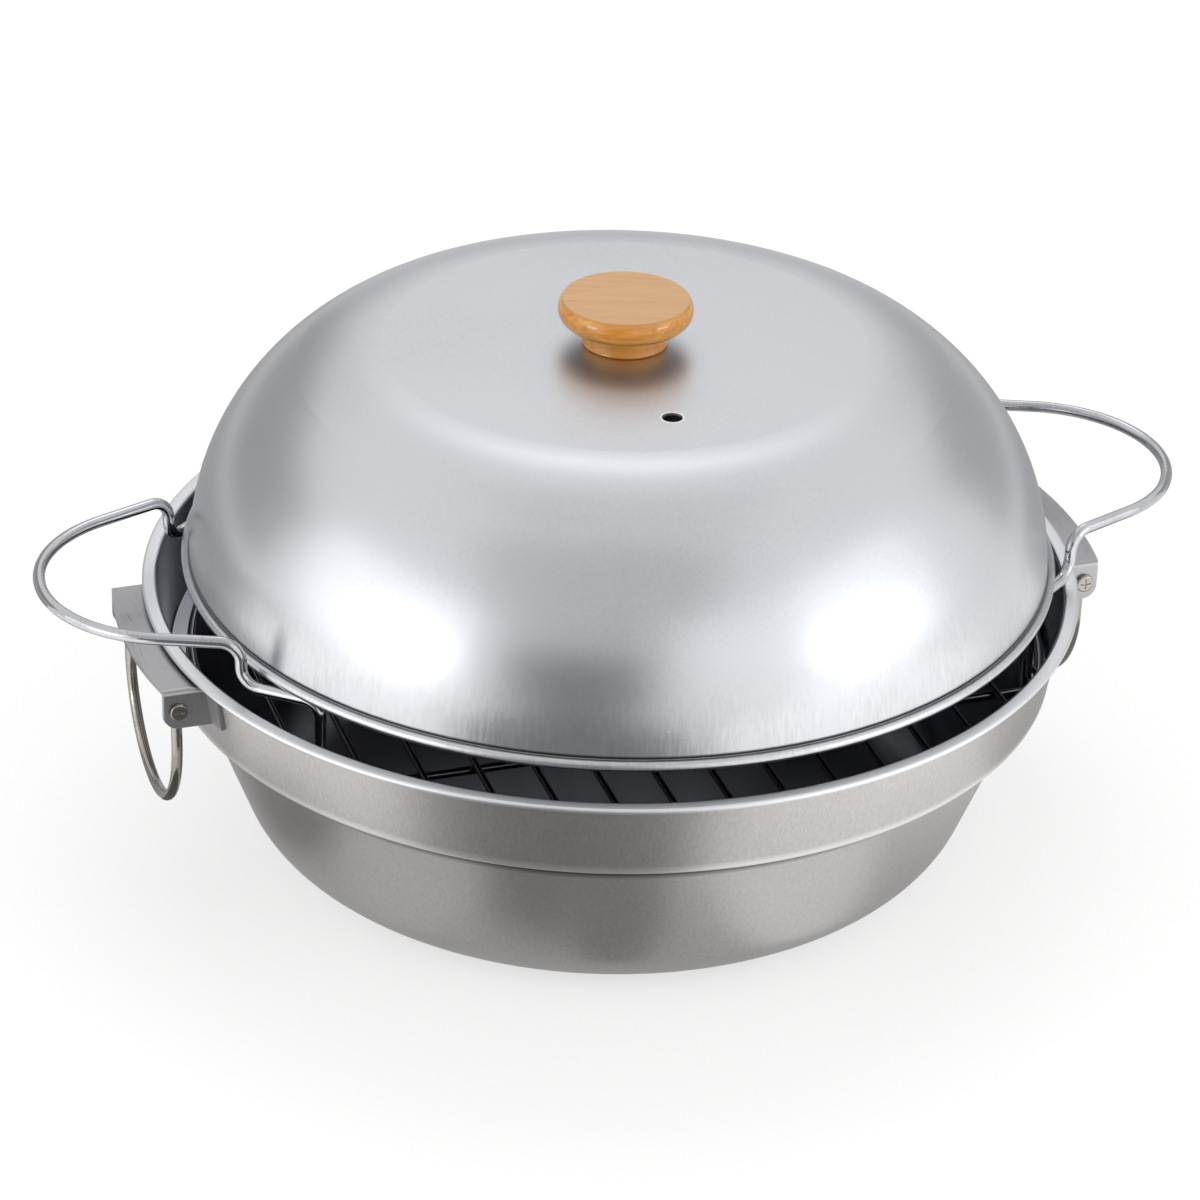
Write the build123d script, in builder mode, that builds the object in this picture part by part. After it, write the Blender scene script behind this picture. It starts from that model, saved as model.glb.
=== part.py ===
import os
from math import asin, atan2, cos, degrees, radians, sin, sqrt, tan

from build123d import *

os.makedirs("parts", exist_ok=True)

# Stovetop smoker: a stepped steel pan, a wire rack with two carrying loops, and a domed lid with a knob.
# Millimetres, +Z up. The origin is the middle of the pan's flat bottom. +X runs along the carrying loops.

# Sheets and wires
pan_sheet = 0.8
lid_sheet = 0.8
bracket_sheet = 1.2
rod_wire = 2.0
cross_wire = 2.5
ring_wire = 3.0
handle_wire = 3.5
bail_wire = 3.2

# Clearances
weld_gap = 0.05
lid_seat_gap = 0.3
lid_riser_play = 2.85
handle_over_rim = 1.5
handle_over_step = 0.3
bail_bore_play = 0.1
bail_head_play = 0.2
bail_ear_play = 0.7
screw_play = 0.05
washer_play = 0.15

# Pan: flat floor, leaning lower wall, step, flared upper band and folded rim
rim_radius = 140.0
pan_height = 82.0
rim_flange = 3.8
rim_lip = 1.7
rim_edge_round = 0.8
rim_mouth_round = 1.2
band_flare = 3.4
band_foot_bend = 1.5
step_width = 5.6
step_height = 56.5
step_bend = 0.7
wall_lean = 20.8
floor_corner_radius = 22.9

# Brackets: a curved top plate, two ears folded down, and a weld tab at each ear's root
bracket_overhang = 9.0
bracket_drop = 0.8
ear_span = 66.0
ear_height = 12.3
ear_corner_radius = 4.2
ear_fold_inside = 0.3
tab_length = 5.8
tab_height = 10.0
tab_lift = 0.6

# Bails: rings of wire that swing in the ears, with heads staked outside them
bail_pivot_inset = 8.0
bail_pivot_drop = 6.7
bail_leg = 10.6
bail_shoulder_bend = 2.4
bail_head_diameter = 5.5
bail_head_height = 1.2
bail_head_round = 0.5
bail_stake_length = 3.4
bail_stake_width = 0.5
bail_stake_depth = 0.35

# Rack: rods on a ring that rests on the pan's step, stiffened by two cross wires.
# It lies a little to the right in the pan and is turned by a small angle.
rack_shift = 2.2
rack_turn = -0.7
ring_inset = 0.6
rod_count = 15
rod_margin = 15.8
rod_overhang = 0.5
cross_beside_foot = 4.5

# Carrying loops: each wire climbs from the ring, runs out under the lid and rises to its loop
foot_inside_rod = 3.8
foot_bend = 5.0
riser_inset = 5.0
riser_span = 91.4
riser_bend = 6.0
riser_height = 13.4
loop_projection = 34.5
loop_end_radius = 39.8

# Lid: rolled bead, near upright foot, side arc and shoulder arc up to a flat top
bead_radius = 1.6
lid_foot_lift = 1.8
lid_foot_lean = 1.7
lid_side_radius = 72.3
lid_side_turn = 54.6
lid_shoulder_radius = 44.1
vent_diameter = 6.0
vent_reach = 51.0
vent_bearing = -93.6

# Knob: a turned disc on a neck, held by a screw and washer from inside the lid
knob_diameter = 39.7
knob_disc_height = 7.2
knob_top_round = 1.4
knob_under_round = 3.2
knob_neck_diameter = 25.0
knob_neck_height = 6.9
knob_neck_cove = 1.0
knob_foot_round = 0.6
screw_diameter = 4.0
screw_bite = 9.0
screw_head_diameter = 8.0
screw_head_height = 2.6
screw_head_round = 1.2
screw_slot_length = 4.4
screw_slot_width = 0.9
screw_slot_depth = 1.1
washer_diameter = 14.0
washer_height = 1.0

# Pan and bracket places
band_top_radius = rim_radius - rim_flange
band_foot_radius = band_top_radius - band_flare
step_inner_radius = band_foot_radius - step_width
wall_foot_radius = step_inner_radius - step_height * tan(radians(wall_lean))
rim_underside = pan_height - rim_lip
step_top = step_height + pan_sheet
bracket_reach = rim_radius + bracket_overhang
plate_top = rim_underside - bracket_drop
ear_face = ear_span / 2
ear_bottom = plate_top - ear_height
pivot_reach = bracket_reach - bail_pivot_inset
pivot_level = plate_top - bail_pivot_drop
bail_half_width = ear_face - bracket_sheet - bail_ear_play - bail_wire / 2

# Rack places, measured from the rack's own axis
rack_place = Location((rack_shift, 0, 0), (0, 0, rack_turn))
ring_radius = step_inner_radius + ring_inset
ring_level = step_top + ring_wire / 2
last_rod_place = ring_radius - rod_margin
rod_pitch = 2 * last_rod_place / (rod_count - 1)
rod_level = ring_level + ring_wire / 2 + weld_gap + rod_wire / 2
cross_level = rod_level - rod_wire / 2 - weld_gap - cross_wire / 2
foot_ring_radius = ring_radius - ring_wire / 2 - weld_gap - handle_wire / 2
foot_reach = last_rod_place - foot_inside_rod
foot_place = sqrt(foot_ring_radius**2 - foot_reach**2)
riser_radius = rim_radius - riser_inset
riser_reach = sqrt(riser_radius**2 - (riser_span / 2) ** 2)
run_level = pan_height + handle_over_rim + handle_wire / 2
loop_level = run_level + riser_height
loop_reach = rim_radius + loop_projection

# Lid places, measured from the rack's axis, on which the lid sits
lid_place = Location((rack_shift, 0, 0))
bead_ring_radius = riser_radius - handle_wire / 2 - lid_riser_play - bead_radius
bead_level = run_level + handle_wire / 2 + lid_seat_gap + bead_radius
lid_foot_radius = bead_ring_radius - bead_radius + lid_sheet
lid_foot_level = bead_level + lid_foot_lift
side_end_lean = radians(lid_foot_lean + lid_side_turn)
lid_side_rise = lid_side_radius * (sin(side_end_lean) - sin(radians(lid_foot_lean)))
lid_shoulder_rise = lid_shoulder_radius * (1 - sin(side_end_lean))
lid_top = lid_foot_level + lid_side_rise + lid_shoulder_rise


def band_radius(level):
    """Outer radius of the pan's slightly flared band at a level."""
    climb = (level - step_height) / (rim_underside - step_height)
    return band_foot_radius + band_flare * climb


def save(part, name, place=Location()):
    """Put a finished piece in its place, label it and write it."""
    part = part.moved(place)
    part.label = name
    export_step(part, f"parts/{name}.step")


# Pan: one pressed sheet, with the rim folded flat outside its mouth
rim_middle = rim_underside + rim_lip / 2
with BuildPart() as bowl:
    with BuildSketch(Plane.XZ):
        with BuildLine():
            FilletPolyline(
                (0, 0),
                (wall_foot_radius, 0),
                (step_inner_radius, step_height),
                (band_foot_radius, step_height),
                (band_radius(rim_middle), rim_middle),
                radius=[floor_corner_radius, step_bend, band_foot_bend],
            )
            offset(amount=pan_sheet, side=Side.LEFT)
        make_face()
    revolve(axis=Axis.Z)
    with BuildSketch(Plane.XZ) as rim_profile:
        with Locations((band_top_radius - pan_sheet, rim_underside)):
            Rectangle(rim_flange + pan_sheet, rim_lip, align=Align.MIN)
        fillet(rim_profile.vertices().group_by(Axis.X)[-1], rim_edge_round)
        mouth_corner = rim_profile.vertices().group_by(Axis.X)[0].sort_by(Axis.Y)[-1]
        fillet(mouth_corner, rim_mouth_round)
    revolve(axis=Axis.Z)
save(bowl.part, "bowl")


# Bracket: the plate's plan is carried down at both ends as ears, cut back to the band's cone,
# and each ear turns outward along the band as a weld tab
with BuildPart() as bracket_right:
    with BuildSketch(Plane.XY.offset(plate_top)):
        Circle(bracket_reach)
        Rectangle(bracket_reach, ear_span, align=(Align.MIN, Align.CENTER), mode=Mode.INTERSECT)
    extrude(amount=-ear_height)
    with BuildSketch(Plane.XY.offset(plate_top - bracket_sheet)):
        Rectangle(bracket_reach, ear_span - 2 * bracket_sheet, align=(Align.MIN, Align.CENTER))
    extrude(amount=-ear_height, mode=Mode.SUBTRACT)
    with BuildSketch(Plane.XZ):
        with BuildLine():
            Polyline(
                (0, step_height),
                (band_radius(step_height) + weld_gap, step_height),
                (band_radius(rim_underside) + weld_gap, rim_underside),
                (0, rim_underside),
                close=True,
            )
        make_face()
    revolve(axis=Axis.Z, mode=Mode.SUBTRACT)
    ear_noses = bracket_right.edges().group_by(Axis.Z)[0].sort_by(Axis.X)[-2:]
    fillet(ear_noses, ear_corner_radius)
    inside_folds = bracket_right.edges().filter_by(Axis.X).group_by(Axis.Z)[-2]
    fillet(inside_folds, ear_fold_inside)
    outside_folds = bracket_right.edges().filter_by(Axis.X).group_by(Axis.Z)[-1].sort_by(Axis.Y)
    fillet([outside_folds[0], outside_folds[-1]], ear_fold_inside + bracket_sheet)
    with BuildSketch(Plane.XZ):
        with Locations((pivot_reach, pivot_level)):
            Circle(bail_wire / 2 + bail_bore_play)
    extrude(amount=ear_span, both=True, mode=Mode.SUBTRACT)
    tab_foot = ear_bottom + tab_lift
    tab_head = tab_foot + tab_height
    tab_start = asin((ear_face - bracket_sheet) / band_radius(pivot_level))
    tab_turn = (tab_length + bracket_sheet) / band_radius(pivot_level)
    for end in (-1, 1):
        tab_plane = Plane(
            origin=(0, 0, 0),
            x_dir=(cos(tab_start), end * sin(tab_start), 0),
            z_dir=(end * sin(tab_start), -cos(tab_start), 0),
        )
        with BuildSketch(tab_plane):
            with BuildLine():
                Polyline(
                    (band_radius(tab_foot) + weld_gap, tab_foot),
                    (band_radius(tab_foot) + weld_gap + bracket_sheet, tab_foot),
                    (band_radius(tab_head) + weld_gap + bracket_sheet, tab_head),
                    (band_radius(tab_head) + weld_gap, tab_head),
                    close=True,
                )
            make_face()
        revolve(axis=Axis((0, 0, 0), (0, 0, end)), revolution_arc=degrees(tab_turn))
save(bracket_right.part, "bracket_right")

with BuildPart() as bracket_left:
    add(bracket_right.part, rotation=(0, 0, 180))
save(bracket_left.part, "bracket_left")


# Bail: one wire makes a pin end, a leg, the half ring, the other leg and the other pin end
head_face = ear_face + bail_head_play
with BuildPart() as bail_right:
    with BuildLine(Plane.YZ.offset(pivot_reach)) as bail_path:
        pin_end = bail_half_width + bail_shoulder_bend
        near_pin = Line((-head_face, pivot_level), (-pin_end, pivot_level))
        near_shoulder = JernArc(near_pin @ 1, near_pin % 1, bail_shoulder_bend, -90)
        near_leg = Line(near_shoulder @ 1, near_shoulder @ 1 - Vector(0, 0, bail_leg))
        half_ring = JernArc(near_leg @ 1, near_leg % 1, bail_half_width, 180)
        far_leg = Line(half_ring @ 1, half_ring @ 1 + Vector(0, 0, bail_leg))
        far_shoulder = JernArc(far_leg @ 1, far_leg % 1, bail_shoulder_bend, -90)
        Line(far_shoulder @ 1, (head_face, pivot_level))
    with BuildSketch(Plane(bail_path.line @ 0, z_dir=bail_path.line % 0)):
        Circle(bail_wire / 2)
    sweep(path=bail_path.line)
    for end in (-1, 1):
        head_place = (pivot_reach, end * head_face, pivot_level)
        with BuildSketch(Plane(origin=head_place, x_dir=(1, 0, 0), z_dir=(0, end, 0))):
            Circle(bail_head_diameter / 2)
        extrude(amount=bail_head_height)
    head_rims = bail_right.edges().filter_by(GeomType.CIRCLE).sort_by(Axis.Y)
    fillet([head_rims[0], head_rims[-1]], bail_head_round)
    for end in (-1, 1):
        stake_place = (pivot_reach, end * (head_face + bail_head_height), pivot_level)
        with BuildSketch(Plane(origin=stake_place, x_dir=(1, 0, 0), z_dir=(0, end, 0))):
            Rectangle(bail_stake_length, bail_stake_width)
            Rectangle(bail_stake_width, bail_stake_length)
        extrude(amount=-bail_stake_depth, mode=Mode.SUBTRACT)
save(bail_right.part, "bail_right")

with BuildPart() as bail_left:
    add(bail_right.part, rotation=(0, 0, 180))
save(bail_left.part, "bail_left")


# Rack ring: it lies on the pan's step
with BuildPart() as rack_ring:
    with Locations((0, 0, ring_level)):
        Torus(ring_radius, ring_wire / 2)
save(rack_ring.part, "rack_ring", rack_place)

# Rack rods: parallel wires across the ring, each as long as its chord
for index in range(rod_count):
    rod_place = index * rod_pitch - last_rod_place
    rod_half_length = sqrt((ring_radius + rod_overhang) ** 2 - rod_place**2)
    with BuildPart() as rod:
        with BuildSketch(Plane.XZ.offset(-rod_half_length)):
            with Locations((rod_place, rod_level)):
                Circle(rod_wire / 2)
        extrude(amount=2 * rod_half_length)
    save(rod.part, f"rack_rod_{index + 1:02d}", rack_place)

# Cross wires: two thicker wires under the rods, cut to fit inside the ring
cross_place = foot_place + cross_beside_foot
ring_inside = ring_radius - ring_wire / 2
cross_half_length = sqrt(ring_inside**2 - (cross_place + cross_wire / 2) ** 2) - weld_gap
for name, side in (("rack_cross_front", -1), ("rack_cross_back", 1)):
    with BuildPart() as cross:
        with BuildSketch(Plane.YZ.offset(-cross_half_length)):
            with Locations((side * cross_place, cross_level)):
                Circle(cross_wire / 2)
        extrude(amount=2 * cross_half_length)
    save(cross.part, name, rack_place)


def carrying_loop(side):
    """Handle wire: up from inside the ring, out over the rim, up and round the loop, and back."""
    across = loop_reach - loop_end_radius - riser_reach
    leg_lean = atan2(riser_span / 2, across) - asin(loop_end_radius / sqrt(across**2 + riser_span**2 / 4))
    apex_reach = riser_reach + riser_span / 2 / tan(leg_lean)
    half_route = [
        (foot_reach, foot_place, step_top + handle_over_step),
        (foot_reach, foot_place, run_level),
        (riser_reach, riser_span / 2, run_level),
        (riser_reach, riser_span / 2, loop_level),
    ]
    route = [(side * x, y, z) for x, y, z in half_route]
    route.append((side * apex_reach, 0, loop_level))
    route += [(x, -y, z) for x, y, z in reversed(route[:-1])]
    bends = [foot_bend, riser_bend, riser_bend, loop_end_radius, riser_bend, riser_bend, foot_bend]
    with BuildPart() as handle:
        with BuildLine() as route_line:
            FilletPolyline(*route, radius=bends)
        with BuildSketch(Plane(route_line.line @ 0, z_dir=route_line.line % 0)):
            Circle(handle_wire / 2)
        sweep(path=route_line.line)
    return handle.part


save(carrying_loop(-1), "rack_handle_left", rack_place)
save(carrying_loop(1), "rack_handle_right", rack_place)


# Lid: one spun sheet with a rolled bead, a vent and a screw hole
foot_lean = radians(lid_foot_lean)
with BuildPart() as lid_shell:
    with BuildSketch(Plane.XZ):
        with BuildLine():
            side_start = (lid_foot_radius, lid_foot_level)
            side_heading = (-sin(foot_lean), cos(foot_lean))
            lid_side = JernArc(side_start, side_heading, lid_side_radius, lid_side_turn)
            shoulder_turn = 90 - lid_foot_lean - lid_side_turn
            lid_shoulder = JernArc(lid_side @ 1, lid_side % 1, lid_shoulder_radius, shoulder_turn)
            Line(lid_shoulder @ 1, (0, lid_top))
            offset(amount=lid_sheet, side=Side.LEFT)
        make_face()
        with Locations((bead_ring_radius, bead_level)):
            Circle(bead_radius)
        with Locations((lid_foot_radius - lid_sheet, bead_level)):
            Rectangle(lid_sheet, lid_foot_lift, align=Align.MIN)
    revolve(axis=Axis.Z)
    with BuildSketch(Plane.XY.offset(lid_top)):
        Circle(screw_diameter / 2 + washer_play)
        with PolarLocations(vent_reach, 1, start_angle=vent_bearing):
            Circle(vent_diameter / 2)
    extrude(amount=-2 * lid_sheet, mode=Mode.SUBTRACT)
save(lid_shell.part, "lid_shell", lid_place)


# Knob: turned disc and neck, bored from below for its screw
with BuildPart() as knob:
    with BuildSketch(Plane.XZ) as knob_profile:
        with Locations((0, lid_top)):
            Rectangle(knob_neck_diameter / 2, knob_neck_height, align=Align.MIN)
        with Locations((0, lid_top + knob_neck_height)):
            Rectangle(knob_diameter / 2, knob_disc_height, align=Align.MIN)
        for radius, height, round_radius in (
            (knob_neck_diameter / 2, 0, knob_foot_round),
            (knob_neck_diameter / 2, knob_neck_height, knob_neck_cove),
            (knob_diameter / 2, knob_neck_height, knob_under_round),
            (knob_diameter / 2, knob_neck_height + knob_disc_height, knob_top_round),
        ):
            fillet(knob_profile.vertices().sort_by_distance((radius, lid_top + height, 0))[0], round_radius)
    revolve(axis=Axis.Z)
    with BuildSketch(Plane.XY.offset(lid_top)):
        Circle(screw_diameter / 2 + screw_play)
    extrude(amount=screw_bite + screw_play, mode=Mode.SUBTRACT)
save(knob.part, "knob", lid_place)

with BuildPart() as knob_washer:
    with BuildSketch(Plane.XY.offset(lid_top - lid_sheet)):
        Circle(washer_diameter / 2)
        Circle(screw_diameter / 2 + washer_play, mode=Mode.SUBTRACT)
    extrude(amount=-washer_height)
save(knob_washer.part, "knob_washer", lid_place)

with BuildPart() as knob_screw:
    with BuildSketch(Plane.XY.offset(lid_top - lid_sheet - washer_height)):
        Circle(screw_head_diameter / 2)
    extrude(amount=-screw_head_height)
    fillet(knob_screw.edges().sort_by(Axis.Z)[0], screw_head_round)
    with BuildSketch(Plane.XY.offset(lid_top - lid_sheet - washer_height)):
        Circle(screw_diameter / 2)
    extrude(amount=screw_bite + lid_sheet + washer_height)
    with BuildSketch(Plane.XY.offset(lid_top - lid_sheet - washer_height - screw_head_height)):
        Rectangle(screw_slot_length, screw_slot_width)
        Rectangle(screw_slot_width, screw_slot_length)
    extrude(amount=screw_slot_depth, mode=Mode.SUBTRACT)
save(knob_screw.part, "knob_screw", lid_place)
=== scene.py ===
from math import atan, cos, degrees, pi, radians, sin, tan

import bpy
from mathutils import Matrix, Vector


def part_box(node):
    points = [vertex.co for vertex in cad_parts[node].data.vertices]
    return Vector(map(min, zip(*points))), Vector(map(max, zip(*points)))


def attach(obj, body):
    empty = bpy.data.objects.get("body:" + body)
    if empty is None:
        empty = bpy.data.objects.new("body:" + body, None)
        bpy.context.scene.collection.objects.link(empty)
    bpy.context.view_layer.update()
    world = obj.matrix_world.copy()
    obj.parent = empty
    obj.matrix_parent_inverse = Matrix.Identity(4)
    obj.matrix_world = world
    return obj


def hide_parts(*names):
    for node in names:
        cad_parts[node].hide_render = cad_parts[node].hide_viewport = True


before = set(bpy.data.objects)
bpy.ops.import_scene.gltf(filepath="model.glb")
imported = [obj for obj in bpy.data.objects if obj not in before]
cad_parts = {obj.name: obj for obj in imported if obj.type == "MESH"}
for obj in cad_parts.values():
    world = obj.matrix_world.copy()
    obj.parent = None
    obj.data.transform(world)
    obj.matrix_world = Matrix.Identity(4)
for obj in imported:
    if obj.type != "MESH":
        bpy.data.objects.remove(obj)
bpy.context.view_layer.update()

MM = 0.001

# Photograph: the camera stands 19.5 degrees round to the left and looks down 28 degrees
CAMERA_AZIMUTH = -19.5
CAMERA_ELEVATION = 28.26
CAMERA_DISTANCE = 1.2931
CAMERA_AIM = Vector((0.0, 0.0, 0.081))
CAMERA_PAN = 0.132
CAMERA_TILT = -0.413
CAMERA_ROLL = -1.718
CAMERA_LENS = 129.25
SENSOR_WIDTH = 36.0

# The room's light on the pieces, and the floor's own glow, as shares of paper white
ROOM_LIGHT = 0.78
FLOOR_GLOW = 0.62
FLOOR_WHITE = "#FCFCFB"

# The floor lies a little under the pan, and boards that overlap on it lie a layer apart
FLOOR_DROP = 0.5 * MM
BOARD_LAYER = 0.1 * MM

# The vent in the lid: its middle, and where its bright edge (bare metal with a painted highlight) ends and
# the satin starts
VENT_PLACE = (-0.0010, -0.0509, 0.0)
VENT_EDGE = (3.3 * MM, 3.7 * MM)

# Pan, in millimetres and degrees: sheet, folded rim, flared band, step, leaning wall, bend to the floor
PAN_SHEET = 0.8
RIM_RADIUS = 140.0
PAN_HEIGHT = 82.0
RIM_FLANGE = 3.8
RIM_LIP = 1.7
RIM_EDGE_ROUND = 0.8
RIM_MOUTH_ROUND = 1.2
BAND_FLARE = 3.4
BAND_FOOT_BEND = 1.5
STEP_WIDTH = 5.6
STEP_HEIGHT = 56.5
STEP_BEND = 0.7
WALL_LEAN = 20.8
FLOOR_BEND = 22.9

# A turned form closes at its axis in a small flat face of this radius, in millimetres
AXIS_FACE = 1.0


def linear(hex_color):
    """A colour written as sRGB hex, as the linear red, green, blue and alpha that a shader takes."""
    value = hex_color.lstrip("#")
    parts = [int(value[i:i + 2], 16) / 255 for i in (0, 2, 4)]
    return tuple(c / 12.92 if c <= 0.04045 else ((c + 0.055) / 1.055) ** 2.4 for c in parts) + (1.0,)


def add_node(tree, kind, links=None, settings=None, **inputs):
    """Add a node, set its properties and input values, and link sockets into it."""
    node = tree.nodes.new(kind)
    for name, value in (settings or {}).items():
        setattr(node, name, value)
    for name, value in inputs.items():
        node.inputs[name.replace("_", " ")].default_value = value
    for name, socket in (links or {}).items():
        tree.links.new(socket, node.inputs[name])
    return node


def seen_directly(tree):
    """1 for what the camera sees straight, in metal or through glass, and 0 for the light it casts."""
    path = add_node(tree, "ShaderNodeLightPath")
    seen = add_node(tree, "ShaderNodeMath",
                    {0: path.outputs["Is Camera Ray"], 1: path.outputs["Is Glossy Ray"]},
                    {"operation": "MAXIMUM"})
    seen = add_node(tree, "ShaderNodeMath", {0: seen.outputs[0], 1: path.outputs["Is Transmission Ray"]},
                    {"operation": "MAXIMUM"})
    return seen.outputs[0]


def level_band(tree, height, rise, fall):
    """1 between two levels and 0 outside; rise and fall are each soft edge's start and end, in mm."""
    above = add_node(tree, "ShaderNodeMapRange", {"Value": height}, From_Min=rise[0] * MM,
                     From_Max=rise[1] * MM)
    below = add_node(tree, "ShaderNodeMapRange", {"Value": height}, From_Min=fall[1] * MM,
                     From_Max=fall[0] * MM)
    band = add_node(tree, "ShaderNodeMath", {0: above.outputs["Result"], 1: below.outputs["Result"]},
                    {"operation": "MULTIPLY"})
    return band.outputs[0]


def new_material(name):
    """An empty node material with its tree, shader and object coordinates."""
    material = bpy.data.materials.new(name)
    material.use_nodes = True
    tree = material.node_tree
    place = add_node(tree, "ShaderNodeTexCoord").outputs["Object"]
    return material, tree, tree.nodes["Principled BSDF"], place


def direction(turn, rise):
    """Unit vector at a turn from the camera's bearing, to the right, and a rise above the floor."""
    bearing = radians(CAMERA_AZIMUTH + turn)
    level = cos(radians(rise))
    return Vector((sin(bearing) * level, -cos(bearing) * level, sin(radians(rise))))


# Camera
def place_camera():
    """The photograph's camera: turned off its aim by small pan, tilt and roll angles."""
    back = direction(0, CAMERA_ELEVATION)
    camera_data = bpy.data.cameras.new("camera")
    camera_data.lens = CAMERA_LENS
    camera_data.sensor_width = SENSOR_WIDTH
    camera_data.sensor_fit = "HORIZONTAL"
    camera_data.clip_end = 20.0
    camera = bpy.data.objects.new("camera", camera_data)
    bpy.context.scene.collection.objects.link(camera)
    turn = (-back).to_track_quat("-Z", "Y").to_matrix()
    turn = turn @ Matrix.Rotation(radians(CAMERA_PAN), 3, "Y")
    turn = turn @ Matrix.Rotation(radians(CAMERA_TILT), 3, "X")
    turn = turn @ Matrix.Rotation(radians(-CAMERA_ROLL), 3, "Z")
    camera.matrix_world = Matrix.Translation(CAMERA_AIM + back * CAMERA_DISTANCE) @ turn.to_4x4()
    bpy.context.scene.camera = camera


# Studio
def place_softbox(name, turn, rise, distance, width, height, brightness):
    """A rectangular softbox that faces the pan; the metal mirrors the boards instead."""
    light_data = bpy.data.lights.new(name, "AREA")
    light_data.shape = "RECTANGLE"
    light_data.size = width
    light_data.size_y = height
    light_data.energy = brightness * pi * width * height
    light = bpy.data.objects.new(name, light_data)
    light.visible_camera = False
    light.visible_glossy = False
    bpy.context.scene.collection.objects.link(light)
    away = direction(turn, rise)
    facing = away.to_track_quat("Z", "Y").to_matrix().to_4x4()
    light.matrix_world = Matrix.Translation(CAMERA_AIM + away * distance) @ facing


def finish_board(board, brightness):
    """An even glow that is seen only in reflections, and stays out of the picture and the light."""
    material = bpy.data.materials.new(board.name + "_glow")
    material.use_nodes = True
    tree = material.node_tree
    tree.nodes.remove(tree.nodes["Principled BSDF"])
    glow = add_node(tree, "ShaderNodeEmission", Color=(1, 1, 1, 1), Strength=brightness)
    tree.links.new(glow.outputs["Emission"], tree.nodes["Material Output"].inputs["Surface"])
    board.data.materials.append(material)
    board.visible_camera = False
    board.visible_diffuse = False
    board.visible_shadow = False
    board.visible_transmission = False
    board.visible_volume_scatter = False


def stand_board(name, turn, rise, distance, width, height, brightness):
    """A board on a stand that faces the pan."""
    away = direction(turn, rise)
    facing = away.to_track_quat("Z", "Y").to_euler()
    bpy.ops.mesh.primitive_plane_add(size=1.0, location=CAMERA_AIM + away * distance, rotation=facing)
    board = bpy.context.object
    board.name = name
    board.scale = (width, height, 1)
    finish_board(board, brightness)


def lay_board(name, turn, reach, width, depth, layer, brightness):
    """A round-ended board on the floor, its middle at a reach from the pan's own middle."""
    middle = direction(turn, 0) * reach
    bpy.ops.mesh.primitive_circle_add(vertices=64, radius=0.5, fill_type="NGON",
                                      location=(middle.x, middle.y, layer * BOARD_LAYER),
                                      rotation=(0, 0, radians(CAMERA_AZIMUTH + turn)))
    board = bpy.context.object
    board.name = name
    board.scale = (width, depth, 1)
    finish_board(board, brightness)


def light_room():
    """White all round, as bright as paper where it is seen, and a little dimmer as light."""
    world = bpy.data.worlds.new("studio")
    world.use_nodes = True
    bpy.context.scene.world = world
    tree = world.node_tree
    tree.nodes["Background"].inputs["Color"].default_value = (1, 1, 1, 1)
    strength = add_node(tree, "ShaderNodeMapRange", {"Value": seen_directly(tree)}, To_Min=ROOM_LIGHT,
                        To_Max=1.0)
    tree.links.new(strength.outputs["Result"], tree.nodes["Background"].inputs["Strength"])


def lay_floor():
    """A sweep of plain white paper that glows a little, so that only a faint shadow shows."""
    bpy.ops.mesh.primitive_plane_add(size=8.0, location=(0, 0, -FLOOR_DROP))
    floor = bpy.context.object
    floor.name = "studio_floor"
    material = bpy.data.materials.new("floor_paper")
    material.use_nodes = True
    tree = material.node_tree
    paper = tree.nodes["Principled BSDF"]
    paper.inputs["Base Color"].default_value = linear(FLOOR_WHITE)
    paper.inputs["Roughness"].default_value = 0.95
    paper.inputs["Specular IOR Level"].default_value = 0.0
    glow = add_node(tree, "ShaderNodeEmission", Color=(1, 1, 1, 1), Strength=1.0)
    share = add_node(tree, "ShaderNodeMath", {0: seen_directly(tree)}, {"operation": "MULTIPLY"})
    share.inputs[1].default_value = FLOOR_GLOW
    mixed = add_node(tree, "ShaderNodeMixShader",
                     {0: share.outputs[0], 1: paper.outputs[0], 2: glow.outputs[0]})
    tree.links.new(mixed.outputs[0], tree.nodes["Material Output"].inputs["Surface"])
    floor.data.materials.append(material)


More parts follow.
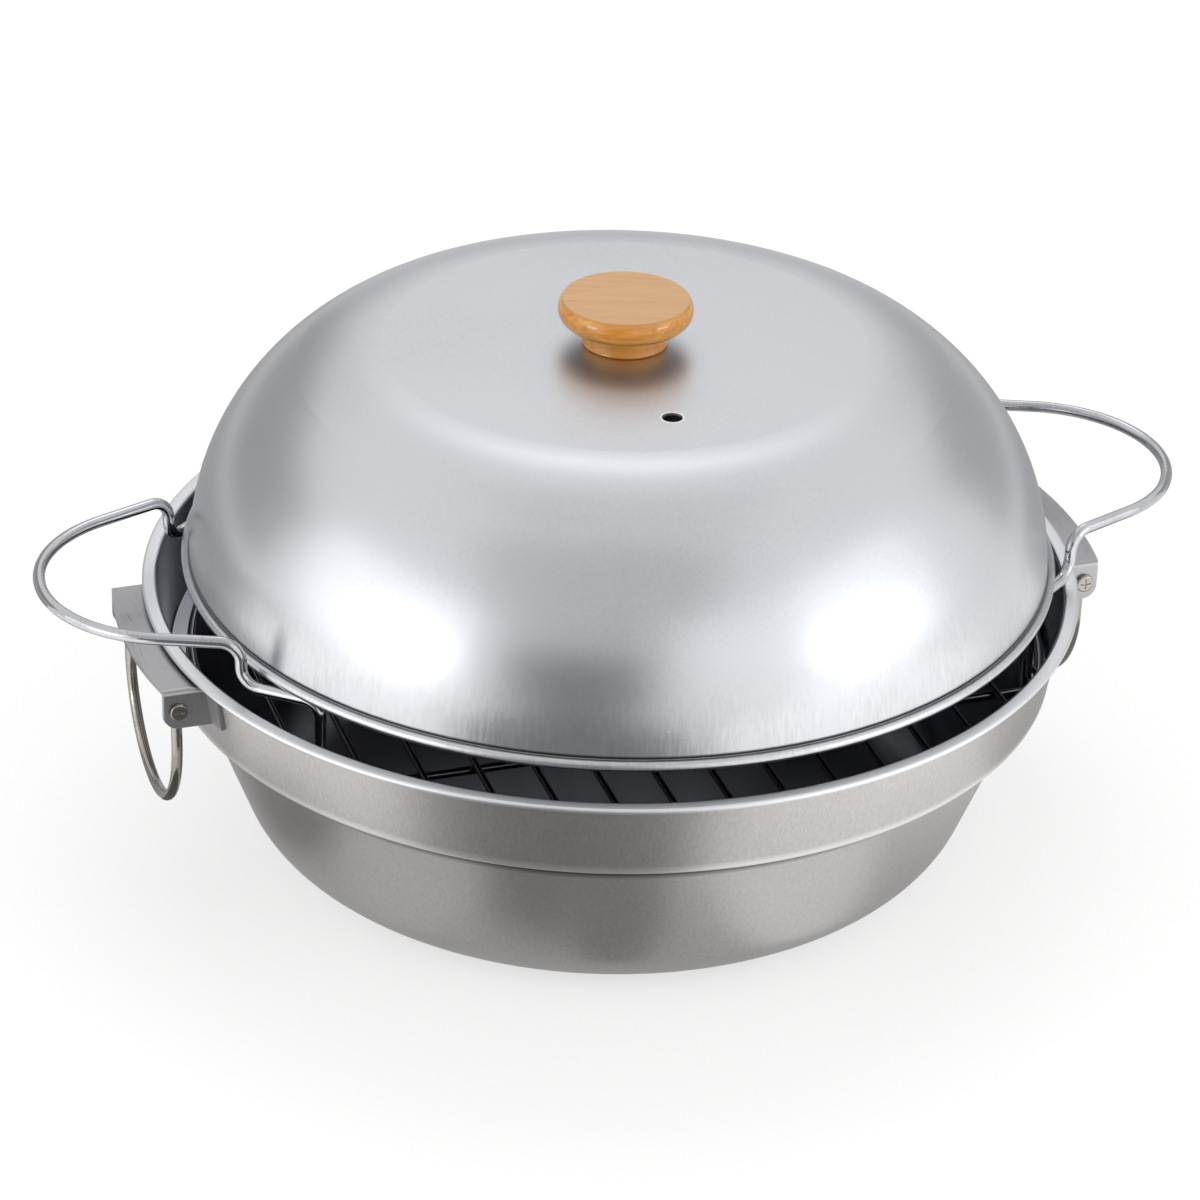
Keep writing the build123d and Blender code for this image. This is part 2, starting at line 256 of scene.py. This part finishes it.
def build_studio():
    """White sweep, room light, three softboxes and the boards that the steel mirrors."""
    light_room()
    lay_floor()
    # Turn and rise in degrees; distance, width and height in metres; brightness against paper white
    place_softbox("left_softbox", -70, 20, 1.3, 0.9, 0.75, 2.0)
    place_softbox("right_softbox", 60, 25, 1.3, 0.8, 0.8, 2.4)
    place_softbox("back_softbox", 180, 60, 1.5, 1.3, 0.8, 2.0)
    # What the lid mirrors: dim in front, bright at both sides with a hot core, dim behind
    stand_board("front_low_board", -9, 7.5, 1.5, 1.00, 0.64, 0.20)
    stand_board("front_high_board", -6, 44.5, 1.5, 1.5, 1.38, 0.66)
    stand_board("top_board", 0, 84, 1.5, 1.2, 0.9, 0.85)
    stand_board("left_board", -62, 15, 1.3, 1.20, 0.82, 1.6)
    stand_board("left_strip", -54, 10, 1.25, 0.52, 0.34, 2.4)
    stand_board("left_core", -55, 7, 1.24, 0.36, 0.12, 7.5)
    stand_board("right_near_board", 32, 16, 1.3, 0.75, 0.86, 1.2)
    stand_board("right_board", 70.5, 18, 1.3, 0.91, 0.95, 1.53)
    stand_board("right_strip", 65, 12, 1.25, 0.50, 0.36, 2.4)
    stand_board("right_core", 64, 9, 1.24, 0.38, 0.12, 7.5)
    stand_board("left_back_board", -134, 13, 1.4, 1.85, 0.76, 0.42)
    stand_board("right_back_board", 143, 13, 1.4, 1.3, 0.76, 0.50)
    stand_board("back_low_board", 180, 11, 1.5, 1.1, 0.62, 0.62)
    stand_board("back_high_board", 180, 49, 1.5, 0.55, 0.30, 2.3)
    # What the lid's foot, the rim and the pan's wall mirror: turn, reach, size, layer, brightness
    lay_board("under_pan_board", 0, 0.0, 0.28, 0.28, 2, 0.50)
    lay_board("back_floor_board", -168, 0.50, 1.50, 0.88, 3, 0.42)
    lay_board("left_floor_board", -60, 0.52, 0.46, 0.60, 4, 1.4)
    lay_board("right_floor_board", 57, 0.52, 0.56, 0.62, 4, 1.45)
    lay_board("left_far_board", -50, 1.05, 0.62, 0.44, 6, 2.4)
    lay_board("right_far_board", 56, 1.05, 0.66, 0.44, 6, 2.2)
    lay_board("right_foot_board", 36, 0.142, 0.09, 0.06, 7, 0.92)
    lay_board("left_foot_board", -36, 0.142, 0.08, 0.06, 7, 0.62)
    lay_board("left_foot_dark_board", -64, 0.150, 0.09, 0.06, 8, 0.16)
    lay_board("middle_foot_board", 2, 0.138, 0.05, 0.05, 8, 0.26)
    lay_board("right_end_board", 100, 0.185, 0.14, 0.11, 7, 0.36)
    lay_board("left_end_board", -100, 0.185, 0.14, 0.11, 7, 0.42)
    lay_board("front_floor_board", -8, 0.81, 0.42, 1.38, 5, 0.19)


# Finishes
def lid_satin_steel():
    """Stainless sheet spun to a dome and blasted: a cool, even satin, with short upright marks low down."""
    material, tree, shader, place = new_material("lid_satin_steel")
    height = add_node(tree, "ShaderNodeSeparateXYZ", {"Vector": place}).outputs["Z"]
    # The blasted grain is under 0.1 mm; drawn at 0.9 mm so that it shows at all
    grain = add_node(tree, "ShaderNodeTexNoise", {"Vector": place}, Scale=1 / (0.9 * MM), Detail=2.0,
                     Roughness=0.6)
    haze = add_node(tree, "ShaderNodeTexNoise", {"Vector": place}, Scale=1 / (60 * MM), Detail=2.0,
                    Roughness=0.5)
    tone = add_node(tree, "ShaderNodeMath", {0: grain.outputs["Fac"], 1: haze.outputs["Fac"]},
                    {"operation": "ADD"})
    ramp = add_node(tree, "ShaderNodeValToRGB", {"Fac": tone.outputs[0]})
    ramp.color_ramp.elements[0].position = 0.6
    ramp.color_ramp.elements[0].color = linear("#C5C8CC")
    ramp.color_ramp.elements[1].position = 1.4
    ramp.color_ramp.elements[1].color = linear("#CDCFD3")
    # The marks of handling are 0.1 to 0.3 mm wide; drawn at 1.2 and 1.5 mm so that they show
    streak_place = add_node(tree, "ShaderNodeMapping", {"Vector": place}, Scale=(1, 1, 0.14))
    streak = add_node(tree, "ShaderNodeTexNoise", {"Vector": streak_place.outputs[0]},
                      Scale=1 / (1.2 * MM), Detail=4.0, Roughness=0.7)
    row_place = add_node(tree, "ShaderNodeMapping", {"Vector": place}, Scale=(0.12, 0.12, 1))
    rows = add_node(tree, "ShaderNodeTexNoise", {"Vector": row_place.outputs[0]}, Scale=1 / (1.5 * MM),
                    Detail=2.0)
    crossed = add_node(tree, "ShaderNodeMath", {0: rows.outputs["Fac"], 2: streak.outputs["Fac"]},
                       {"operation": "MULTIPLY_ADD"})
    crossed.inputs[1].default_value = 0.7
    # They lie in patches of about 14 mm on the lowest 25 mm of the side
    low = add_node(tree, "ShaderNodeMapRange", {"Value": height}, From_Min=0.117, From_Max=0.094)
    patches = add_node(tree, "ShaderNodeTexNoise", {"Vector": place}, Scale=1 / (14 * MM), Detail=3.0)
    patched = add_node(tree, "ShaderNodeMapRange", {"Value": patches.outputs["Fac"]}, From_Min=0.30,
                       From_Max=0.52)
    marked = add_node(tree, "ShaderNodeMath", {0: patched.outputs["Result"], 1: low.outputs["Result"]},
                      {"operation": "MULTIPLY"})
    streaked = add_node(tree, "ShaderNodeMath", {0: crossed.outputs[0], 1: marked.outputs[0]},
                        {"operation": "MULTIPLY"})
    # They are paler and darker in turn
    worn = add_node(tree, "ShaderNodeValToRGB", {"Fac": streak.outputs["Fac"]})
    worn.color_ramp.elements[0].position = 0.3
    worn.color_ramp.elements[0].color = linear("#AEB0AE")
    worn.color_ramp.elements[1].position = 0.7
    worn.color_ramp.elements[1].color = linear("#D8D9D9")
    part_worn = add_node(tree, "ShaderNodeMath", {0: marked.outputs[0]}, {"operation": "MULTIPLY"})
    part_worn.inputs[1].default_value = 0.5
    color = add_node(tree, "ShaderNodeMix", {"Factor": part_worn.outputs[0], "A": ramp.outputs["Color"],
                     "B": worn.outputs["Color"]}, {"data_type": "RGBA"})
    # Painted shade: the crease above the rolled bead is painted dark, where shade falls
    crease = level_band(tree, height, (90.35, 90.6), (91.0, 91.6))
    crease_painted_shade = add_node(tree, "ShaderNodeMix", {"Factor": crease, "A": color.outputs["Result"]},
                       {"data_type": "RGBA"})
    crease_painted_shade.inputs["B"].default_value = linear("#4A4947")
    # The vent's punched edge is painted bright: partly bare metal, partly a painted highlight on its rim
    flat = add_node(tree, "ShaderNodeVectorMath", {0: place}, {"operation": "MULTIPLY"})
    flat.inputs[1].default_value = (1, 1, 0)
    from_vent = add_node(tree, "ShaderNodeVectorMath", {0: flat.outputs[0]}, {"operation": "DISTANCE"})
    from_vent.inputs[1].default_value = VENT_PLACE
    vent_edge_glint_mask = add_node(tree, "ShaderNodeMapRange", {"Value": from_vent.outputs["Value"]},
                       From_Min=VENT_EDGE[1], From_Max=VENT_EDGE[0])
    bare_edge_and_highlight = add_node(tree, "ShaderNodeMix",
                    {"Factor": vent_edge_glint_mask.outputs["Result"], "A": crease_painted_shade.outputs["Result"]},
                    {"data_type": "RGBA"})
    bare_edge_and_highlight.inputs["B"].default_value = linear("#F0F1F3")
    tree.links.new(bare_edge_and_highlight.outputs["Result"], shader.inputs["Base Color"])
    # The flat top is blasted rougher than the side
    top = add_node(tree, "ShaderNodeMapRange", {"Value": height}, From_Min=0.150, From_Max=0.156,
                   To_Min=0.27, To_Max=0.35)
    rough = add_node(tree, "ShaderNodeMath", {0: tone.outputs[0], 2: top.outputs["Result"]},
                     {"operation": "MULTIPLY_ADD"})
    rough.inputs[1].default_value = 0.03
    # Handling has dulled the foot a little
    dulled = add_node(tree, "ShaderNodeMath", {0: low.outputs["Result"], 2: rough.outputs[0]},
                      {"operation": "MULTIPLY_ADD"})
    dulled.inputs[1].default_value = 0.01
    tree.links.new(dulled.outputs[0], shader.inputs["Roughness"])
    fine = add_node(tree, "ShaderNodeBump", {"Height": grain.outputs["Fac"]}, Strength=0.5,
                    Distance=0.006 * MM)
    marks = add_node(tree, "ShaderNodeBump",
                     {"Height": streaked.outputs[0], "Normal": fine.outputs["Normal"]},
                     Strength=0.9, Distance=0.06 * MM)
    tree.links.new(marks.outputs["Normal"], shader.inputs["Normal"])
    shader.inputs["Metallic"].default_value = 1.0
    return material


def pan_matte_steel():
    """Deep drawn stainless sheet: warm, grainy grey outside, with a painted sheen on the rim and painted
    highlight and shade at the step, smooth inside with painted shade deepening to the floor.
    """
    material, tree, shader, place = new_material("pan_matte_steel")
    height = add_node(tree, "ShaderNodeSeparateXYZ", {"Vector": place}).outputs["Z"]
    # The drawn grain is about 0.2 mm; drawn at 0.7 mm so that it shows
    grain_place = add_node(tree, "ShaderNodeMapping", {"Vector": place}, Scale=(1, 1, 0.4))
    grain = add_node(tree, "ShaderNodeTexNoise", {"Vector": grain_place.outputs[0]},
                     Scale=1 / (0.7 * MM), Detail=3.0, Roughness=0.6)
    haze = add_node(tree, "ShaderNodeTexNoise", {"Vector": place}, Scale=1 / (50 * MM), Detail=2.0,
                    Roughness=0.5)
    tone = add_node(tree, "ShaderNodeMath", {0: haze.outputs["Fac"], 2: grain.outputs["Fac"]},
                    {"operation": "MULTIPLY_ADD"})
    tone.inputs[1].default_value = 0.4
    ramp = add_node(tree, "ShaderNodeValToRGB", {"Fac": tone.outputs[0]})
    ramp.color_ramp.elements[0].position = 0.4
    ramp.color_ramp.elements[0].color = linear("#B7B4B2")
    ramp.color_ramp.elements[1].position = 1.0
    ramp.color_ramp.elements[1].color = linear("#CECBC9")
    # The folded rim is painted paler: a painted sheen on the flange that faces the light
    rim = add_node(tree, "ShaderNodeMapRange", {"Value": height}, From_Min=0.0800, From_Max=0.0806)
    rim_painted_sheen = add_node(tree, "ShaderNodeMix", {"Factor": rim.outputs["Result"], "A": ramp.outputs["Color"]},
                      {"data_type": "RGBA"})
    rim_painted_sheen.inputs["B"].default_value = linear("#E0E1E4")
    # The band's foot is painted bright, a painted highlight on its round, and the corner under it is
    # painted dark, a painted shade
    fold = (56.2, 56.6)
    foot = level_band(tree, height, fold, (57.8, 59.8))
    foot_painted_highlight = add_node(tree, "ShaderNodeMix", {"Factor": foot, "A": rim_painted_sheen.outputs["Result"]},
                           {"data_type": "RGBA"})
    foot_painted_highlight.inputs["B"].default_value = linear("#E6E4E2")
    corner = level_band(tree, height, (50.0, 52.4), fold)
    outside = add_node(tree, "ShaderNodeMix", {"Factor": corner, "A": foot_painted_highlight.outputs["Result"]},
                       {"data_type": "RGBA"})
    outside.inputs["B"].default_value = linear("#5C5A58")
    # A face is inside where it looks towards a point on the axis, a little under the rim
    from_core = add_node(tree, "ShaderNodeVectorMath", {0: place}, {"operation": "SUBTRACT"})
    from_core.inputs[1].default_value = (0, 0, 0.07)
    facing = add_node(tree, "ShaderNodeNewGeometry")
    side = add_node(tree, "ShaderNodeVectorMath", {0: from_core.outputs[0], 1: facing.outputs["Normal"]},
                    {"operation": "DOT_PRODUCT"})
    inside = add_node(tree, "ShaderNodeMapRange", {"Value": side.outputs["Value"]}, From_Min=0.0,
                      From_Max=-0.004)
    # Painted shade inside: the floor is painted darkest, and the wall less and less towards the rim
    inside_painted_shade = add_node(tree, "ShaderNodeValToRGB", {"Fac": height})
    inside_painted_shade.color_ramp.elements[0].position = 0.02
    inside_painted_shade.color_ramp.elements[0].color = linear("#6F7178")
    inside_painted_shade.color_ramp.elements[1].position = 0.07
    inside_painted_shade.color_ramp.elements[1].color = linear("#BFC1C7")
    color = add_node(tree, "ShaderNodeMix", {"Factor": inside.outputs["Result"],
                     "A": outside.outputs["Result"], "B": inside_painted_shade.outputs["Color"]}, {"data_type": "RGBA"})
    tree.links.new(color.outputs["Result"], shader.inputs["Base Color"])
    rough = add_node(tree, "ShaderNodeMapRange", {"Value": tone.outputs[0]}, From_Min=0.4, From_Max=1.0,
                     To_Min=0.40, To_Max=0.46)
    smooth = add_node(tree, "ShaderNodeMix",
                      {"Factor": inside.outputs["Result"], "A": rough.outputs["Result"]},
                      {"data_type": "FLOAT"})
    smooth.inputs["B"].default_value = 0.24
    tree.links.new(smooth.outputs["Result"], shader.inputs["Roughness"])
    depth = add_node(tree, "ShaderNodeMapRange", {"Value": inside.outputs["Result"]}, To_Min=0.5,
                     To_Max=0.12)
    bump = add_node(tree, "ShaderNodeBump",
                    {"Height": grain.outputs["Fac"], "Strength": depth.outputs["Result"]},
                    Distance=0.005 * MM)
    tree.links.new(bump.outputs["Normal"], shader.inputs["Normal"])
    shader.inputs["Metallic"].default_value = 1.0
    return material


def bracket_rolled_steel():
    """Cold rolled stainless strip: smooth satin with faint rolling lines along the plate."""
    material, tree, shader, place = new_material("bracket_rolled_steel")
    # Rolling lines are under 0.1 mm apart; drawn at 0.9 mm so that they show
    line_place = add_node(tree, "ShaderNodeMapping", {"Vector": place}, Scale=(1, 0.06, 1))
    lines = add_node(tree, "ShaderNodeTexNoise", {"Vector": line_place.outputs[0]},
                     Scale=1 / (0.9 * MM), Detail=3.0, Roughness=0.6)
    haze = add_node(tree, "ShaderNodeTexNoise", {"Vector": place}, Scale=1 / (9 * MM), Detail=3.0)
    tone = add_node(tree, "ShaderNodeMath", {0: lines.outputs["Fac"], 1: haze.outputs["Fac"]},
                    {"operation": "ADD"})
    ramp = add_node(tree, "ShaderNodeValToRGB", {"Fac": tone.outputs[0]})
    ramp.color_ramp.elements[0].position = 0.6
    ramp.color_ramp.elements[0].color = linear("#97989B")
    ramp.color_ramp.elements[1].position = 1.4
    ramp.color_ramp.elements[1].color = linear("#AAAAAC")
    tree.links.new(ramp.outputs["Color"], shader.inputs["Base Color"])
    rough = add_node(tree, "ShaderNodeMapRange", {"Value": tone.outputs[0]}, From_Min=0.6, From_Max=1.4,
                     To_Min=0.26, To_Max=0.38)
    tree.links.new(rough.outputs["Result"], shader.inputs["Roughness"])
    bump = add_node(tree, "ShaderNodeBump", {"Height": lines.outputs["Fac"]}, Strength=0.08,
                    Distance=0.02 * MM)
    tree.links.new(bump.outputs["Normal"], shader.inputs["Normal"])
    shader.inputs["Metallic"].default_value = 1.0
    return material


def drawn_wire(name, dark, light, smooth, rough):
    """Drawn stainless wire: near mirror bright, with faint die marks and handling haze."""
    material, tree, shader, place = new_material(name)
    # Die marks are under 0.1 mm; drawn at 0.7 mm so that they show
    marks = add_node(tree, "ShaderNodeTexNoise", {"Vector": place}, Scale=1 / (0.7 * MM), Detail=4.0,
                     Roughness=0.65)
    haze = add_node(tree, "ShaderNodeTexNoise", {"Vector": place}, Scale=1 / (14 * MM), Detail=3.0)
    tone = add_node(tree, "ShaderNodeMath", {0: marks.outputs["Fac"], 1: haze.outputs["Fac"]},
                    {"operation": "ADD"})
    ramp = add_node(tree, "ShaderNodeValToRGB", {"Fac": tone.outputs[0]})
    ramp.color_ramp.elements[0].position = 0.6
    ramp.color_ramp.elements[0].color = linear(dark)
    ramp.color_ramp.elements[1].position = 1.4
    ramp.color_ramp.elements[1].color = linear(light)
    tree.links.new(ramp.outputs["Color"], shader.inputs["Base Color"])
    roughness = add_node(tree, "ShaderNodeMapRange", {"Value": tone.outputs[0]}, From_Min=0.6,
                         From_Max=1.4, To_Min=smooth, To_Max=rough)
    tree.links.new(roughness.outputs["Result"], shader.inputs["Roughness"])
    bump = add_node(tree, "ShaderNodeBump", {"Height": marks.outputs["Fac"]}, Strength=0.05,
                    Distance=0.03 * MM)
    tree.links.new(bump.outputs["Normal"], shader.inputs["Normal"])
    shader.inputs["Metallic"].default_value = 1.0
    return material


def knob_lacquered_wood():
    """Turned light hardwood, honey brown under clear lacquer, with fine grain, a painted sheen on the top
    and painted shade underneath.
    """
    material, tree, shader, place = new_material("knob_lacquered_wood")
    height = add_node(tree, "ShaderNodeSeparateXYZ", {"Vector": place}).outputs["Z"]
    # Grain lines 1.6 mm apart; the pores are about 0.1 mm wide and drawn at 0.5 mm so that they show
    turned = add_node(tree, "ShaderNodeMapping", {"Vector": place}, Rotation=(0, 0, radians(20)))
    grain_place = add_node(tree, "ShaderNodeMapping", {"Vector": turned.outputs[0]}, Scale=(0.07, 1, 1))
    grain = add_node(tree, "ShaderNodeTexNoise", {"Vector": grain_place.outputs[0]},
                     Scale=1 / (1.6 * MM), Detail=3.0, Roughness=0.5, Distortion=0.3)
    pore_place = add_node(tree, "ShaderNodeMapping", {"Vector": turned.outputs[0]}, Scale=(0.12, 1, 1))
    pores = add_node(tree, "ShaderNodeTexNoise", {"Vector": pore_place.outputs[0]},
                     Scale=1 / (0.5 * MM), Detail=2.0)
    tone = add_node(tree, "ShaderNodeMath", {0: pores.outputs["Fac"], 2: grain.outputs["Fac"]},
                    {"operation": "MULTIPLY_ADD"})
    tone.inputs[1].default_value = 0.3
    side_ramp = add_node(tree, "ShaderNodeValToRGB", {"Fac": tone.outputs[0]})
    side_ramp.color_ramp.elements[0].position = 0.4
    side_ramp.color_ramp.elements[0].color = linear("#BD741D")
    side_ramp.color_ramp.elements[1].position = 0.9
    side_ramp.color_ramp.elements[1].color = linear("#DD9A39")
    # The flat top is painted paler and less orange: a painted sheen, where its lacquer mirrors the light
    top_sheen_ramp = add_node(tree, "ShaderNodeValToRGB", {"Fac": tone.outputs[0]})
    top_sheen_ramp.color_ramp.elements[0].position = 0.4
    top_sheen_ramp.color_ramp.elements[0].color = linear("#B38040")
    top_sheen_ramp.color_ramp.elements[1].position = 0.9
    top_sheen_ramp.color_ramp.elements[1].color = linear("#C18E4E")
    top = add_node(tree, "ShaderNodeMapRange", {"Value": height}, From_Min=0.1694, From_Max=0.1700)
    color = add_node(tree, "ShaderNodeMix", {"Factor": top.outputs["Result"],
                     "A": side_ramp.outputs["Color"], "B": top_sheen_ramp.outputs["Color"]},
                     {"data_type": "RGBA"})
    # Painted shade: the flat underside and the groove are painted dark, where shade falls under the disc
    underside_shade_band = level_band(tree, height, (161.6, 161.9), (162.7, 163.2))
    underside_painted_shade = add_node(tree, "ShaderNodeMix", {"Factor": underside_shade_band, "A": color.outputs["Result"]},
                       {"data_type": "RGBA"})
    underside_painted_shade.inputs["B"].default_value = linear("#5A4534")
    tree.links.new(underside_painted_shade.outputs["Result"], shader.inputs["Base Color"])
    shader.inputs["Roughness"].default_value = 0.45
    shader.inputs["Specular IOR Level"].default_value = 0.2
    shader.inputs["Coat Weight"].default_value = 1.0
    shader.inputs["Coat Roughness"].default_value = 0.04
    bump = add_node(tree, "ShaderNodeBump", {"Height": tone.outputs[0]}, Strength=0.1,
                    Distance=0.05 * MM)
    tree.links.new(bump.outputs["Normal"], shader.inputs["Normal"])
    return material


def finish_nodes(pan_steel, wood):
    """Give every piece of the frame its finish."""
    bracket_steel = bracket_rolled_steel()
    ring_wire = drawn_wire("side_ring_wire", "#86817B", "#A8A39D", 0.10, 0.20)
    rack_wire = drawn_wire("rack_bright_wire", "#A4A5A8", "#C0C1C4", 0.05, 0.12)
    # The grid under the lid is the same drawn wire painted darker: painted shade
    grid_wire_painted_shade = drawn_wire("rack_grid_wire_shaded", "#5F6063", "#7C7D80", 0.12, 0.22)
    # Zinc plate on the screw and washer takes the wire's pattern with a duller shine
    zinc = drawn_wire("screw_zinc_plate", "#A9ADB2", "#C2C6CA", 0.25, 0.4)
    finishes = {
        "bowl": pan_steel,
        "lid_shell": lid_satin_steel(),
        "knob": wood,
        "knob_screw": zinc,
        "knob_washer": zinc,
        "bracket_left": bracket_steel,
        "bracket_right": bracket_steel,
        "bail_left": ring_wire,
        "bail_right": ring_wire,
    }
    for name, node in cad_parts.items():
        wire = rack_wire if "handle" in name else grid_wire_painted_shade
        node.data.materials.clear()
        node.data.materials.append(finishes.get(name, wire))


# Turned pieces, in millimetres
def bend(middle, radius, start, end, steps, rise=None):
    """Points of radius and level on a bend between two angles; an oval bend also has its own rise."""
    rise = rise or radius
    angles = [radians(start + (end - start) * step / steps) for step in range(steps + 1)]
    return [(middle[0] + radius * cos(angle), middle[1] + rise * sin(angle)) for angle in angles]


def ring_up(profile, middle, around):
    """Turn a closed form from its profile by extruding a circle ring by ring."""
    bpy.ops.object.select_all(action="DESELECT")
    radius, level = profile[0]
    bpy.ops.mesh.primitive_circle_add(vertices=around, radius=radius * MM, location=(0, 0, 0))
    piece = bpy.context.object
    bpy.ops.object.mode_set(mode="EDIT")
    bpy.ops.mesh.select_all(action="SELECT")
    bpy.ops.transform.translate(value=(middle[0], middle[1], level * MM))
    for next_radius, next_level in profile[1:]:
        share = next_radius / radius
        bpy.ops.mesh.extrude_region_move()
        bpy.ops.transform.translate(value=(0, 0, (next_level - level) * MM))
        bpy.ops.transform.resize(value=(share, share, 1),
                                 center_override=(middle[0], middle[1], next_level * MM))
        radius, level = next_radius, next_level
    bpy.ops.mesh.select_all(action="SELECT")
    bpy.ops.mesh.fill_holes(sides=0)
    bpy.ops.mesh.normals_make_consistent(inside=False)
    bpy.ops.object.mode_set(mode="OBJECT")
    return piece


def turn_knob(wood):
    """The knob as it comes off the lathe: barrel sided disc, flat top, fine groove, neck and foot."""
    low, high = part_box("knob")
    middle = ((low[0] + high[0]) / 2, (low[1] + high[1]) / 2)
    seat = low[2] / MM
    top = high[2] / MM
    reach = (high[0] - low[0]) / 2 / MM
    neck = reach - 7.35
    bore_radius = 2.2
    bore_end = seat + 9.3
    # The screw's bore, the foot, the neck with its fine groove, and the disc's flat underside
    profile = [(AXIS_FACE, bore_end), (bore_radius, bore_end), (bore_radius, seat)]
    profile += [(neck - 0.5, seat), (neck, seat + 0.25), (neck + 0.15, seat + 0.6)]
    profile += [(neck - 0.1, seat + 1.5), (neck - 0.2, seat + 3.0), (neck - 0.2, seat + 5.2)]
    profile += [(neck - 0.45, seat + 5.7), (neck - 0.2, seat + 6.1), (reach - 5.0, seat + 6.25)]
    # The side: a long round below its widest line and a short, flatter one above it
    widest = seat + 10.45
    half_height = 4.2
    lower_round = 4.4
    upper_round = 2.6
    profile += bend((reach - lower_round, widest), lower_round, -78, 0, 8, half_height)[:-1]
    profile += bend((reach - upper_round, widest), upper_round, 0, 58, 7, half_height)
    edge = profile[-1][0]
    profile += [(edge - 0.15, top), (reach * 0.6, top), (reach * 0.25, top), (AXIS_FACE, top)]
    knob = ring_up(profile, middle, 96)
    knob.name = "turned_knob"
    bpy.ops.object.shade_smooth_by_angle(angle=radians(25))
    knob.data.materials.append(wood)
    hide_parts("knob")
    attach(knob, "lid")


def press_bowl(steel):
    """The pan as it comes off the press: one sheet with true round bends, its rim folded out flat."""
    band_top = RIM_RADIUS - RIM_FLANGE
    band_foot = band_top - BAND_FLARE
    step_inner = band_foot - STEP_WIDTH
    wall_foot = step_inner - STEP_HEIGHT * tan(radians(WALL_LEAN))
    rim_underside = PAN_HEIGHT - RIM_LIP
    rim_edge = RIM_RADIUS - RIM_EDGE_ROUND
    band_lean = degrees(atan(BAND_FLARE / (rim_underside - STEP_HEIGHT)))
    # Each bend's middle is set back from its corner, so that the bend meets both sides
    wall_setback = tan(radians(90 - WALL_LEAN) / 2)
    band_setback = tan(radians(90 - band_lean) / 2)
    floor_bend = (wall_foot - FLOOR_BEND * wall_setback, FLOOR_BEND)
    step_bend = (step_inner + STEP_BEND * wall_setback, STEP_HEIGHT - STEP_BEND)
    band_bend = (band_foot - BAND_FOOT_BEND * band_setback, STEP_HEIGHT + BAND_FOOT_BEND)
    mouth_bend = (band_top - PAN_SHEET + RIM_MOUTH_ROUND, PAN_HEIGHT - RIM_MOUTH_ROUND)
    outside = [(AXIS_FACE, 0.0)]
    outside += bend(floor_bend, FLOOR_BEND, -90, -WALL_LEAN, 12)
    outside += bend(step_bend, STEP_BEND, 180 - WALL_LEAN, 90, 6)
    outside += bend(band_bend, BAND_FOOT_BEND, -90, -band_lean, 10)
    rim = [(band_top, rim_underside)]
    rim += bend((rim_edge, rim_underside + RIM_EDGE_ROUND), RIM_EDGE_ROUND, -90, 0, 7)
    rim += bend((rim_edge, PAN_HEIGHT - RIM_EDGE_ROUND), RIM_EDGE_ROUND, 0, 90, 7)
    rim += bend(mouth_bend, RIM_MOUTH_ROUND, 90, 180, 8)
    rim += [(band_top - PAN_SHEET, rim_underside)]
    inside = bend(band_bend, BAND_FOOT_BEND - PAN_SHEET, -band_lean, -90, 6)
    inside += bend(step_bend, STEP_BEND + PAN_SHEET, 90, 180 - WALL_LEAN, 8)
    inside += bend(floor_bend, FLOOR_BEND - PAN_SHEET, -WALL_LEAN, -90, 12)
    inside += [(AXIS_FACE, PAN_SHEET)]
    bowl = ring_up(outside + rim + inside, (0.0, 0.0), 256)
    bowl.name = "pressed_bowl"
    bpy.ops.object.shade_smooth_by_angle(angle=radians(30))
    bowl.data.materials.append(steel)
    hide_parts("bowl")
    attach(bowl, "pan")


place_camera()
build_studio()
pan_steel = pan_matte_steel()
wood = knob_lacquered_wood()
finish_nodes(pan_steel, wood)
turn_knob(wood)
press_bowl(pan_steel)
bpy.context.scene.view_settings.view_transform = "Standard"
